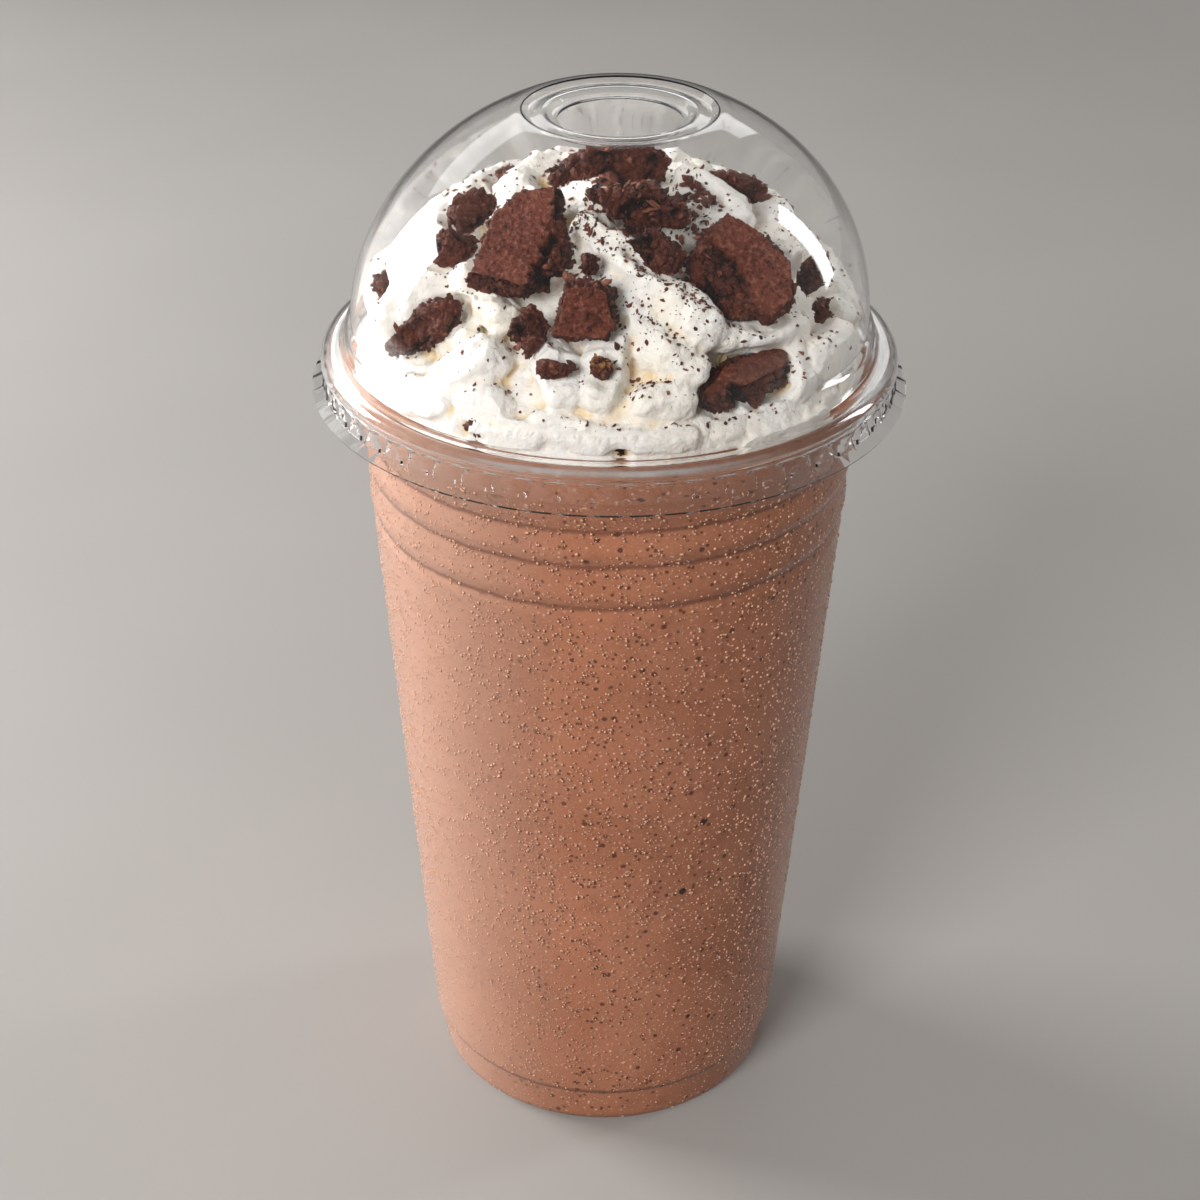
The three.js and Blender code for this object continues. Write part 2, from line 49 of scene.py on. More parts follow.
# The cup. Its wall leans outward from BODY_LOW to BODY_HIGH, each a radius and a height
BODY_LOW = (33.5, 9.2)
BODY_HIGH = (43.2, 139.0)
FOOT_RADIUS = 32.0
FOOT_STEP_HEIGHT = 8.2
FOOT_STEP_RADIUS = BODY_LOW[0] - 0.7
FOOT_RING = 4.2
FOOT_ROUND = 1.4
FOOT_RECESS = 2.6
NECK_RADIUS = 45.9
NECK_HEIGHT = 147.2
RIM_RADIUS = 49.0
RIM_TOP = 150.4
WALL = 0.6
FLOOR_TOP = FOOT_RECESS + WALL
RIB_HEIGHTS = (120.9, 129.1, 135.9)
RIB_DEPTH = 0.45
RIB_BULGE = 0.25
RIB_RISE = 2.2
BODY_ROWS = 11
CUP_COLUMNS = 256

# The lid
LID_SHEET = 0.5
DOME_RADIUS = 44.15
DOME_RISE = 39.6
DOME_FOOT = 154.4
DOME_LEDGE = 1.2
HOLE_RADIUS = 10.4
HOLE_OFFSET = 1.4
TOP_RING_RADIUS = 15.2
TOP_RING_HEIGHT = 191.5
DOME_SHOULDER = 0.45
BEAD_RADIUS = 49.55
BEAD_TOP = 151.15
LOCK_WALL_TOP = BEAD_TOP - 3.4
LOCK_WALL_ROWS = 8
SKIRT_RADIUS = 51.3
SKIRT_FOOT = 143.8
CRIMP_COUNT = 56
CRIMP_DEPTH = 1.0
CRIMP_WIDTH = 1.9
DOME_ROWS = 44
LID_COLUMNS = 8 * CRIMP_COUNT

# The drink
SHAKE_TOP = 148.3
INTO_WALL = 0.08

# The drink's dots: how densely they lie, size, share left out, strength, and display colour
# The pale dots are bubbles in the drink and painted glints that stand in for more dew drops.
BUBBLE_AND_GLINT_TONE = (244, 206, 178)
BUBBLE_AND_GLINT_DOTS = ((1150, 0.34, 0.55, 0.5), (760, 0.24, 0.72, 0.75))
DARK_DOTS = (
    (820, 0.3, 0.74, 0.8, (84, 44, 30)),
    (430, 0.24, 0.84, 0.8, (62, 32, 23)),
    (150, 0.13, 0.86, 0.95, (40, 22, 18)),
)

# The cream
CREAM_FOOT = 148.7
CREAM_RADIUS = 44.4
CREAM_ROOM = 43.2
CREAM_HEADROOM = 3.4
CREAM_BRIM = 1
CREAM_RISE = 29.5
HEAP_FULLNESS = 0.8
CREAM_FACE = 0.46
ROPE_STEP = 0.8
ROPE_SIDES = 22
ROPE_GROOVES = 6
GROOVE_DEPTH = 0.07
GROOVE_TWIST = 0.25
HEAP_COLUMNS = 64

# Each rope's points, as x, y and height over the heap, and its radius
CREAM_ROPES = (
    (((-5, -13, 0.6), (4, -24, 2.0), (11, -29, 2.2), (17.5, -31.5, 2.2)), 4.2),
    (((-4, -22, -0.6), (4, -30, 0), (12, -35, 0.4)), 3.6),
    (((15, -29, -1), (22, -26.5, -0.4), (30, -21, -0.6)), 4),
    (((-37, -16, -2), (-31, -14, 0), (-24, -17, 0.8)), 5.4),
    (((-28, -29, -3.2), (-22, -30.5, -1.6), (-16, -31, -0.4)), 4.6),
    (((-24, -34.5, -1.8), (-15, -37, -0.8)), 4.2),
    (((-12, -30, -1.4), (-9, -34, -0.8), (-6, -39.5, -1)), 3.8),
    (((-2, -29, -1.4), (-0.5, -34, -0.6), (-2.5, -40, -1.2)), 3.7),
    (((4, -31, -1.2), (9, -34, -0.4), (16, -34.5, -0.6)), 3.4),
    (((3, -39.5, -1.2), (8.7, -38, -1), (14, -37, -1)), 3.3),
    (((30, -25, -1), (36, -18, -0.8), (38, -10, -1.4)), 4.4),
    (((9, 4, 0.4), (16, -1, 1), (22, -8, 0.2)), 4.4),
    (((-25.5, -17, 0.2), (-20, -22.5, 0.2), (-15, -28.5, -0.4)), 3.4),
    (((-38, -12, -1.2), (-33, -9, -0.8), (-27, -8, -1)), 4),
    (((-36, -23, -1.6), (-30, -29, -1.4), (-25, -33, -1.4)), 3.4),
    (((-23, -36, -1.6), (-16, -39.2, -1.8), (-9, -41, -2)), 2.8),
    (((-13, -38.6, -2.2), (-4, -41.4, -2.4), (5, -41.6, -2.4), (14, -40, -2.2)), 2.6),
    (((36, -25, -2.6), (30, -32, -2.8), (21, -38.5, -2.6)), 2.8),
    (((31, -18, 0), (28.5, -24, -0.2), (31, -29, -1)), 2.8),
    (((-14, 6.5, -3.6), (-6, 9, -3.2), (4, 9, -3.4)), 4.2),
    (((-30, -20, -0.4), (-27, -24, -0.6), (-21, -26, -0.4)), 2.9),
    (((-36, 4, -1.2), (-33, 16, -1), (-27, 20, -1)), 4),
    (((-14, 33, -1.2), (-3, 36, -1.4), (8, 35, -1.2)), 4.2),
    (((16, 32, -1.2), (24, 30, -1.4), (31, 28.5, -2.2)), 4),
    (((-9, 24, -0.6), (-2, 27, -0.6), (3, 29.5, -0.8)), 3.4),
    (((14, 12, -0.4), (21, 14, -0.6), (24, 20, -1)), 3.8),
    (((36, -8, -1.2), (39.5, -2, -1.8), (38, 6, -1.6)), 3.6),
)

# Each coil's radius round the heap, thickness, height over the heap, turns and start
CREAM_COILS = (
    (38.2, 5.4, -1.8, 0.6, -0.2),
    (28, 5.4, -0.8, 0.72, -0.5),
    (15.5, 5.2, -1.4, 0.8, -1.1),
    (5.5, 4.8, -1.6, 0.75, 0.4),
)

# The cookies
COOKIE_FACE = 0.24
LUMP_SHAPES = 10
LUMP_SHARE = 0.02
SEED_STEP = 3.7

# How much baked skin a piece keeps, and the direction and place in mm where it ends
COOKIE_SKINS = {
    "chunk_left": (1, (-0.9, 0, 0.35), -2.0),
    "chunk_right": (1, (0.8, 0, 0.6), 0.2),
    "chunk_front": (1, (-0.6, 0, -0.2), -4.2),
    "chunk_top": (0.3, (0, 0, -1), -2),
    "chunk_glossy": (0.9, (1, 0, 0), -20),
    "chunk_dark": (0.8, (1, 0, 0), -20),
    "chunk_bar": (0.7, (1, 0, 0), -20),
    "chunk_bar_end": (0.7, (1, 0, 0), -20),
}
PLAIN_SKIN = (0.25, (1, 0, 0), -20)

# The crumbs
CRUMB_SHAPES = 16
SMALLEST_CRUMB = 0.22
PILED_FROM = 1.5
FALL_HEIGHT = 200

# Where crumbs fall, thinly in clouds and piled in heaps: the middle's x and y, how far they
# spread, how many, and the largest size
CRUMB_CLOUDS = (
    (4, -10, 6, 700, 1.1),
    (10, -17, 6, 620, 1.1),
    (15, -24, 6, 280, 0.9),
    (-5, -17, 3.5, 330, 1.1),
    (0, -33, 6, 380, 1.0),
    (9, -31, 7, 240, 0.8),
    (24, -25, 8, 320, 0.9),
    (-10, -28, 9, 250, 0.9),
    (-24, -20, 12, 250, 0.8),
    (32, -14, 9, 160, 0.9),
    (0, 2, 26, 420, 1.0),
    (0, -41, 16, 200, 0.8),
    (-34, -18, 8, 70, 0.9),
    (0, 24, 10, 260, 1.1),
    (-22, 14, 10, 170, 1.0),
    (22, 14, 10, 170, 1.0),
    (0, 36, 14, 130, 0.9),
)
CRUMB_HEAPS = (
    (-1, -6, 3, 60, 2.6),
    (5, -9, 3.2, 110, 3.0),
    (11, -6, 3, 60, 2.6),
    (4, -14, 3, 80, 2.6),
    (7, -18.5, 3, 90, 2.6),
    (12, -21, 3, 50, 2.2),
    (-3, -33, 2.2, 30, 2.4),
)

# The dew
DEW_DROPS = 24000
DEW_LOW = 1.5
DEW_HIGH = 141
DROP_SIDES = 5

# The camera, in the cup's own frame
CAMERA_PLACE = (-1.3, -387.0, 328.0)
CAMERA_PITCH = 30.7
CAMERA_ROLL = 0.45
FRAME_PIXELS = 1200
FOCAL_PIXELS = 2451
SENSOR_WIDTH = 36

# The room. Its lengths are in metres
LAMP_TARGET = (0, 0, 0.13)
ROOM_TONE = (1.0, 0.98, 0.96, 1)
ROOM_LIGHT = 0.2
FLOOR_HALF = 6.0


def tone(red, green, blue):
    """The linear colour of a display colour given from 0 to 255."""
    parts = []
    for value in (red, green, blue):
        share = value / 255
        parts.append(share / 12.92 if share <= 0.04045 else ((share + 0.055) / 1.055) ** 2.4)
    return (*parts, 1.0)


def smoothstep(low, high, value):
    """0 below low, 1 above high, and a smooth rise between them."""
    share = np.clip((value - low) / (high - low), 0, 1)
    return share * share * (3 - 2 * share)


# Materials


class Material:
    """A node material with short calls for adding and joining nodes."""

    def __init__(self, name):
        self.material = bpy.data.materials.new(name)
        self.material.use_nodes = True
        self.tree = self.material.node_tree
        self.tree.nodes.clear()
        self.output = self.add("ShaderNodeOutputMaterial")
        self.shader = self.add("ShaderNodeBsdfPrincipled")
        self.link(self.shader.outputs[0], self.output.inputs["Surface"])
        self.place = self.add("ShaderNodeTexCoord").outputs["Object"]

    def add(self, kind, **settings):
        node = self.tree.nodes.new(kind)
        for name, value in settings.items():
            setattr(node, name, value)
        return node

    def link(self, source, target):
        self.tree.links.new(source, target)

    def put(self, socket, value):
        if isinstance(value, bpy.types.NodeSocket):
            self.link(value, socket)
        else:
            socket.default_value = value

    def set(self, **values):
        for name, value in values.items():
            self.put(self.shader.inputs[name.replace("_", " ")], value)

    def noise(self, scale, detail=3.0, rough=0.55):
        node = self.add("ShaderNodeTexNoise")
        self.link(self.place, node.inputs["Vector"])
        node.inputs["Scale"].default_value = scale
        node.inputs["Detail"].default_value = detail
        node.inputs["Roughness"].default_value = rough
        return node.outputs["Fac"]

    def dots(self, scale):
        """The distance to the nearest of many scattered points, and that point's random colour."""
        node = self.add("ShaderNodeTexVoronoi")
        self.link(self.place, node.inputs["Vector"])
        node.inputs["Scale"].default_value = scale
        kind = self.add("ShaderNodeSeparateColor")
        self.link(node.outputs["Color"], kind.inputs[0])
        return node.outputs["Distance"], kind.outputs

    def math(self, operation, first, second=0.0):
        node = self.add("ShaderNodeMath", operation=operation)
        self.put(node.inputs[0], first)
        self.put(node.inputs[1], second)
        return node.outputs[0]

    def ramp(self, value, low, high, start=0.0, end=1.0):
        """Maps value from low..high to start..end, smoothly and clamped."""
        node = self.add("ShaderNodeMapRange", interpolation_type="SMOOTHSTEP")
        self.put(node.inputs["Value"], value)
        node.inputs["From Min"].default_value = low
        node.inputs["From Max"].default_value = high
        node.inputs["To Min"].default_value = start
        node.inputs["To Max"].default_value = end
        return node.outputs["Result"]

    def mix(self, share, first, second):
        node = self.add("ShaderNodeMix", data_type="RGBA")
        self.put(node.inputs["Factor"], share)
        self.put(node.inputs[6], first)
        self.put(node.inputs[7], second)
        return node.outputs[2]

    def bump(self, height, strength, distance, normal=None):
        node = self.add("ShaderNodeBump")
        self.put(node.inputs["Height"], height)
        node.inputs["Strength"].default_value = strength
        node.inputs["Distance"].default_value = distance
        if normal is not None:
            self.link(normal, node.inputs["Normal"])
        return node.outputs["Normal"]

    def attribute(self, name):
        return self.add("ShaderNodeAttribute", attribute_name=name).outputs["Fac"]


def clear_plastic(name, tint, roughness):
    """Clear plastic that lets lamps shine through to what is behind it."""
    mat = Material(name)
    haze = mat.noise(260, 2)
    mat.set(Base_Color=tint, Transmission_Weight=1.0, IOR=1.46)
    mat.set(Roughness=mat.ramp(haze, 0.35, 0.7, roughness, roughness * 2.2))
    path = mat.add("ShaderNodeLightPath")
    open_way = mat.add("ShaderNodeBsdfTransparent")
    open_way.inputs["Color"].default_value = (0.93, 0.93, 0.93, 1)
    both = mat.add("ShaderNodeMixShader")
    mat.link(path.outputs["Is Shadow Ray"], both.inputs[0])
    mat.link(mat.shader.outputs[0], both.inputs[1])
    mat.link(open_way.outputs[0], both.inputs[2])
    mat.link(both.outputs[0], mat.output.inputs["Surface"])
    return mat.material


def dotted(mat, base):
    """The drink's colour with pale dots, which are bubbles and painted glints of dew, and dark
    grains of several sizes.
    """
    # Pale dots: bubbles, and painted glints of dew.
    for scale, size, left_out, strength in BUBBLE_AND_GLINT_DOTS:
        distance, kind = mat.dots(scale)
        dot = mat.ramp(distance, size * 0.5, size, strength, 0.0)
        pale = mat.math("MULTIPLY", dot, mat.ramp(kind[0], left_out, 1.0))
        base = mat.mix(pale, base, tone(*BUBBLE_AND_GLINT_TONE))
    for scale, size, left_out, strength, colour in DARK_DOTS:
        distance, kind = mat.dots(scale)
        wobble = mat.math("MULTIPLY", mat.noise(scale * 7, 2), size * 0.9)
        edge = mat.math("ADD", distance, wobble)
        dot = mat.ramp(edge, size * 1.1, size * 1.6, strength, 0.0)
        dark = mat.math("MULTIPLY", dot, mat.math("GREATER_THAN", kind[1], left_out))
        base = mat.mix(dark, base, tone(*colour))
    return base


def milkshake_material():
    """Frothy brown drink: soft clouds, pale dots of bubbles and painted dew glints, dark grains,
    and painted shade in the cup's grooves and at its foot step. It is painted paler toward the
    left, a painted sheen of the window's light on the cup's wall."""
    mat = Material("milkshake")
    cloud = mat.ramp(mat.noise(38), 0.36, 0.66)
    base = mat.mix(cloud, tone(168, 109, 79), tone(180, 120, 90))
    blotch = mat.ramp(mat.noise(170), 0.5, 0.72, 0.0, 0.4)
    base = mat.mix(blotch, base, tone(146, 92, 67))
    froth = mat.ramp(mat.noise(2200, 2), 0.5, 0.8, 0.0, 0.35)
    base = dotted(mat, mat.mix(froth, base, tone(214, 164, 134)))
    where = mat.add("ShaderNodeSeparateXYZ")
    mat.link(mat.place, where.inputs[0])
    # Painted sheen: the colour turns paler toward the left, where the window's light glints on the
    # cup's wall.
    painted_window_sheen = mat.ramp(where.outputs["X"], -2 * MM, -30 * MM, 0.0, 0.85)
    base = mat.mix(painted_window_sheen, base, tone(181, 142, 122))
    uneven = mat.math("SUBTRACT", mat.noise(300, 2), 0.5)
    level = mat.math("ADD", where.outputs["Z"], mat.math("MULTIPLY", uneven, 1.2 * MM))
    # Painted shade: dark lines along the rib grooves and the foot step.
    for line in (*RIB_HEIGHTS, FOOT_STEP_HEIGHT + 0.4):
        gap = mat.math("ABSOLUTE", mat.math("SUBTRACT", level, line * MM))
        shade = mat.ramp(gap, 0.1 * MM, 0.9 * MM, 0.6, 0.0)
        base = mat.mix(shade, base, tone(96, 54, 38))
    mat.set(Base_Color=base, Roughness=0.42, IOR=1.4, Specular_IOR_Level=0.12)
    return mat.material


def cream_material():
    """Soft white cream, a little warmer in patches, with painted warm shade in its hollows."""
    mat = Material("whipped_cream")
    warm = mat.ramp(mat.noise(60), 0.42, 0.72, 0.0, 0.6)
    base = mat.mix(warm, tone(250, 245, 238), tone(248, 238, 220))
    # Painted shade: a warm yellow tint, stronger the deeper the cream lies in a hollow.
    hollow = mat.math("MULTIPLY", mat.attribute("hollow"), 0.85)
    base = mat.mix(hollow, base, tone(228, 196, 136))
    mat.set(Base_Color=base, Roughness=0.5, IOR=1.38)
    mat.set(Subsurface_Weight=0.15, Subsurface_Scale=0.0015)
    mat.shader.inputs["Subsurface Radius"].default_value = (1.0, 0.8, 0.5)
    fine = mat.bump(mat.noise(1500, 4), 0.7, 0.0003)
    mat.set(Normal=mat.bump(mat.noise(420, 4), 0.6, 0.001, fine))
    return mat.material


def dew_material():
    """Opaque drops painted a pale drink colour, which stands in for the drink seen through them
    and the glints they catch.
    """
    mat = Material("dew")
    mat.set(Base_Color=tone(218, 172, 145), Roughness=0.45, IOR=1.33)
    return mat.material


def cookie_material(name, gloss=0.0):
    """Dark baked chocolate, browner where its face is whole; its broken parts have painted shade
    in their pits and painted highlights on their raised grains.
    """
    mat = Material(name)
    flat = mat.attribute("flat")
    rise = mat.attribute("rise")
    grain = mat.noise(1300, 5, 0.65)
    broad = mat.noise(230)
    fine_height = mat.math("MULTIPLY", mat.math("SUBTRACT", grain, 0.5), 0.9)
    # Painted light and shade on the broken parts: dark where the surface lies low, pale where it
    # stands high.
    height = mat.math("ADD", rise, fine_height)
    crag = mat.mix(mat.ramp(height, 0.05, 0.5), tone(28, 11, 7), tone(90, 43, 29))
    crag = mat.mix(mat.ramp(height, 0.55, 1.15), crag, tone(152, 92, 69))
    skin = mat.mix(mat.ramp(broad, 0.38, 0.66), tone(102, 47, 31), tone(123, 63, 45))
    skin = mat.mix(mat.ramp(grain, 0.5, 0.66, 0.0, 0.75), skin, tone(158, 99, 77))
    skin = mat.mix(mat.ramp(grain, 0.46, 0.34, 0.0, 0.85), skin, tone(44, 18, 11))
    base = mat.mix(flat, crag, skin)
    base = mat.mix(mat.attribute("tan"), base, tone(188, 134, 84))
    mat.set(Base_Color=base, IOR=1.45)
    mat.set(Roughness=mat.ramp(grain, 0.3, 0.7, 0.72 - 0.4 * gloss, 0.5 - 0.32 * gloss))
    fine = mat.bump(mat.noise(3400), 0.7, 0.0003)
    mat.set(Normal=mat.bump(grain, 0.9, 0.0008, fine))
    return mat.material


def floor_material():
    """Plain pale floor with hardly visible clouds."""
    mat = Material("floor")
    base = mat.mix(mat.ramp(mat.noise(3), 0.35, 0.65), tone(162, 158, 154), tone(168, 164, 160))
    mat.set(Base_Color=base, Roughness=0.6)
    return mat.material


# Shapes


def turn_outward(mesh):
    """Turns every face of a closed mesh outward."""
    shape = bmesh.new()
    shape.from_mesh(mesh)
    bmesh.ops.recalc_face_normals(shape, faces=shape.faces)
    shape.to_mesh(mesh)
    shape.free()


def new_object(name, vertices, faces, material, smooth_angle=None):
    """A new mesh in the scene, smooth except at edges sharper than smooth_angle in degrees."""
    mesh = bpy.data.meshes.new(name)
    mesh.from_pydata([tuple(v) for v in vertices], [], faces)
    mesh.validate()
    turn_outward(mesh)
    thing = bpy.data.objects.new(name, mesh)
    bpy.context.scene.collection.objects.link(thing)
    mesh.materials.append(material)
    mesh.shade_smooth()
    if smooth_angle is not None:
        mesh.set_sharp_from_angle(angle=math.radians(smooth_angle))
    return thing


def rounded(corners, steps=5):
    """A line through corners of (radius, height, rounding), each corner turned into an arc."""
    points = [Vector(corner[:2]) for corner in corners]
    line = []
    for i, (corner, point) in enumerate(zip(corners, points)):
        rounding = corner[2] if len(corner) > 2 else 0
        if i in (0, len(corners) - 1) or rounding == 0:
            line.append(point)
            continue
        back = points[i - 1] - point
        ahead = points[i + 1] - point
        reach = min(rounding, back.length * 0.48, ahead.length * 0.48)
        start = point + back.normalized() * reach
        end = point + ahead.normalized() * reach
        for k in range(steps + 1):
            t = k / steps
            line.append(start * (1 - t) ** 2 + point * 2 * t * (1 - t) + end * t * t)
    return [(p.x, p.y) for p in line]


def lathe(name, outline, material, columns=CUP_COLUMNS, move=None, smooth_angle=None):
    """Turns a line from the axis back to the axis, or a closed loop, about Z."""
    closed = outline[0] == outline[-1]
    points = outline[:-1] if closed else outline
    vertices = []
    rings = []
    for radius, height in points:
        if radius < 1e-6:
            rings.append([len(vertices)] * columns)
            vertices.append((0, 0, height))
            continue
        rings.append(list(range(len(vertices), len(vertices) + columns)))
        for k in range(columns):
            angle = math.tau * k / columns
            vertices.append((radius * math.cos(angle), radius * math.sin(angle), height))
    faces = []
    pairs = list(zip(rings, rings[1:]))
    if closed:
        pairs.append((rings[-1], rings[0]))
    for low, high in pairs:
        for k in range(columns):
            after = (k + 1) % columns
            face = [low[k], low[after], high[after], high[k]]
            kept = [v for i, v in enumerate(face) if v != face[i - 1]]
            if len(kept) > 2:
                faces.append(kept)
    vertices = np.array(vertices, float)
    if move is not None:
        vertices = move(vertices)
    return new_object(name, vertices * MM, faces, material, smooth_angle)


def body_radius(height):
    """The radius of the cup's leaning wall at a height, without its ribs."""
    share = (height - BODY_LOW[1]) / (BODY_HIGH[1] - BODY_LOW[1])
    return BODY_LOW[0] + (BODY_HIGH[0] - BODY_LOW[0]) * share


def wall_corners():
    """The outside of the cup's wall from the foot step up to the neck."""
    corners = [
        (FOOT_STEP_RADIUS, FOOT_STEP_HEIGHT, 0.4),
        (BODY_LOW[0], BODY_LOW[1], 0.8),
    ]
    plain_wall = RIB_HEIGHTS[0] - 2 - BODY_LOW[1]
    for part in range(1, BODY_ROWS + 1):
        height = BODY_LOW[1] + plain_wall * part / BODY_ROWS
        corners.append((body_radius(height), height, 0.5))
    for height in RIB_HEIGHTS:
        corners.append((body_radius(height) - RIB_DEPTH, height, 0.55))
        corners.append((body_radius(height + RIB_RISE) + RIB_BULGE, height + RIB_RISE, 2.4))
    corners.append((NECK_RADIUS - 0.5, NECK_HEIGHT - 3.2, 2))
    corners.append((NECK_RADIUS, NECK_HEIGHT, 0.4))
    return corners


def outside_radius(height):
    """The radius of the cup's wall at a height, with its ribs."""
    line = rounded(wall_corners())
    heights = [point[1] for point in line]
    radii = [point[0] for point in line]
    return float(np.interp(height, heights, radii))


def foot_inside(inset):
    """The inside of the foot, from the wall over the hollow ring it stands on to the floor."""
    ring = FOOT_RADIUS - FOOT_RING
    return [
        (FOOT_RADIUS - WALL - inset, FOOT_ROUND + 0.3, 0.6),
        (FOOT_RADIUS - FOOT_ROUND - inset / 2, WALL + inset, 0.6),
        (ring + 0.4 + inset / 2, WALL + inset, 0.4),
        (ring - FOOT_ROUND + WALL + 0.2, FLOOR_TOP + inset, 0.6),
        (0, FLOOR_TOP + inset, 0),
    ]


def inward(corners, amount):
    """The same corners, moved toward the axis."""
    return [(radius - amount, height, rounding) for radius, height, rounding in corners]


def cup_piece(material):
    """The cup, round from its hollow foot, up its outside, over the rim and down its inside."""
    wall = wall_corners()
    return lathe(
        "cup_detailed",
        rounded(
            [
                (0, FOOT_RECESS),
                (FOOT_RADIUS - FOOT_RING - FOOT_ROUND, FOOT_RECESS, 0.8),
                (FOOT_RADIUS - FOOT_RING, 0, 0.5),
                (FOOT_RADIUS - FOOT_ROUND, 0, 0.9),
                (FOOT_RADIUS, FOOT_ROUND, 1.2),
                *wall,
                (RIM_RADIUS - 1.9, NECK_HEIGHT + 0.3, 0.5),
                (RIM_RADIUS, RIM_TOP - 1.5, 1.2),
                (RIM_RADIUS - 0.6, RIM_TOP - 0.3, 0.5),
                (RIM_RADIUS - 1.6, RIM_TOP, 0.5),
                (NECK_RADIUS + 0.2, RIM_TOP - 0.6, 0.6),
                *reversed(inward(wall, WALL)),
                *foot_inside(0),
            ]
        ),
        material,
        smooth_angle=50,
    )


def milkshake_piece(material):
    """The drink, which reaches just into the cup's wall all round."""
    wall = inward(wall_corners(), WALL - INTO_WALL)
    return lathe(
        "milkshake_detailed",
        rounded(
            [
                *reversed(foot_inside(-INTO_WALL)),
                *wall[:-1],
                (NECK_RADIUS - WALL + INTO_WALL, SHAKE_TOP - 0.4, 0.5),
                (NECK_RADIUS - WALL - 1.2, SHAKE_TOP, 0.8),
                (0, SHAKE_TOP),
            ]
        ),
        material,
    )


def lid_middle():
    """The middle line of the lid's sheet, from the straw hole out and down to the skirt."""
    start = math.asin(TOP_RING_RADIUS / DOME_RADIUS)
    dome = []
    for row in range(1, DOME_ROWS + 1):
        angle = start + (math.pi / 2 - start) * row / DOME_ROWS
        height = DOME_FOOT + DOME_LEDGE + DOME_RISE * math.cos(angle)
        height = min(height, TOP_RING_HEIGHT + DOME_SHOULDER)
        dome.append((DOME_RADIUS * math.sin(angle), height, 0))
    wall_rows = []
    for row in range(LOCK_WALL_ROWS + 1):
        share = row / LOCK_WALL_ROWS
        height = LOCK_WALL_TOP + (SKIRT_FOOT + 1.0 - LOCK_WALL_TOP) * share
        wall_rows.append((BEAD_RADIUS - 0.35 + 0.25 * share, height, 0.12))
    return rounded(
        [
            (HOLE_RADIUS, TOP_RING_HEIGHT - 1.2),
            (HOLE_RADIUS + 1.1, TOP_RING_HEIGHT - 1.2, 0.5),
            (HOLE_RADIUS + 2.1, TOP_RING_HEIGHT + 0.1, 0.7),
            (HOLE_RADIUS + 3.2, TOP_RING_HEIGHT, 0.6),
            (TOP_RING_RADIUS, TOP_RING_HEIGHT - 0.6, 0.6),
            *dome,
            (DOME_RADIUS + 1.0, DOME_FOOT + 0.3, 0.5),
            (DOME_RADIUS + 1.5, BEAD_TOP + 0.2, 0.9),
            (DOME_RADIUS + 2.5, BEAD_TOP - 0.1, 0.5),
            (BEAD_RADIUS - 1.5, BEAD_TOP, 0.9),
            (BEAD_RADIUS - 0.3, BEAD_TOP - 1.0, 0.9),
            (BEAD_RADIUS, BEAD_TOP - 2.6, 0.7),
            *wall_rows,
            (SKIRT_RADIUS, SKIRT_FOOT),
        ],
        steps=4,
    )


def sheet_loop(middle, thickness):
    """A sheet of even thickness on both sides of its middle line, as a closed loop."""
    line = np.array(middle)
    along = np.empty_like(line)
    along[1:-1] = line[2:] - line[:-2]
    along[0] = line[1] - line[0]
    along[-1] = line[-1] - line[-2]
    along /= np.linalg.norm(along, axis=1)[:, None]
    across = np.stack([-along[:, 1], along[:, 0]], 1) * thickness / 2
    loop = [tuple(p) for p in line - across] + [tuple(p) for p in (line + across)[::-1]]
    return loop + [loop[0]]


def shape_lid(vertices):
    """Presses the crimps into the wall under the bead and shifts the dome's top sideways."""
    x, y, z = vertices.T
    radius = np.hypot(x, y)
    angle = np.arctan2(y, x)
    pitch = math.tau / CRIMP_COUNT
    local = (angle / pitch) % 1 - 0.5
    across = np.abs(local) * pitch * radius
    crimp_foot = SKIRT_FOOT + 0.8
    depth_share = np.clip((z - crimp_foot) / (LOCK_WALL_TOP - crimp_foot), 0, 1)
    half_width = 0.15 + CRIMP_WIDTH * depth_share
    dent = CRIMP_DEPTH * np.clip(1 - across / half_width, 0, 1)
    dent *= smoothstep(BEAD_TOP - 2.6, LOCK_WALL_TOP - 0.1, z)
    dent *= smoothstep(SKIRT_FOOT + 0.6, SKIRT_FOOT + 1.4, z)
    dent *= radius > BEAD_RADIUS - 1.2
    radius = radius - dent
    shifted = HOLE_OFFSET * smoothstep(DOME_FOOT, TOP_RING_HEIGHT - 1.6, z)
    return np.stack([radius * np.cos(angle) + shifted, radius * np.sin(angle), z], 1)


def lid_piece(material):
    """The lid, one thin sheet from the straw hole to the skirt."""
    loop = sheet_loop(lid_middle(), LID_SHEET)
    return lathe("dome_lid_detailed", loop, material, LID_COLUMNS, shape_lid, smooth_angle=40)


def copy_of_node(node, name):
    """A new object with a solid's mesh, in the same place."""
    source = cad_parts[node]
    mesh = source.data.copy()
    mesh.name = name
    thing = bpy.data.objects.new(name, mesh)
    bpy.context.scene.collection.objects.link(thing)
    mesh.materials.clear()
    welded = bmesh.new()
    welded.from_mesh(mesh)
    bmesh.ops.remove_doubles(welded, verts=welded.verts, dist=1e-6)
    welded.to_mesh(mesh)
    welded.free()
    return thing


def settle(thing):
    """Turns a thing's modifiers into its mesh."""
    graph = bpy.context.evaluated_depsgraph_get()
    graph.update()
    mesh = bpy.data.meshes.new_from_object(thing.evaluated_get(graph))
    thing.modifiers.clear()
    old = thing.data
    thing.data = mesh
    bpy.data.meshes.remove(old)


def remesh(thing, size):
    """Rebuilds a closed mesh from even faces of a size in millimetres."""
    modifier = thing.modifiers.new("remesh", "REMESH")
    modifier.mode = "VOXEL"
    modifier.voxel_size = size * MM
    settle(thing)


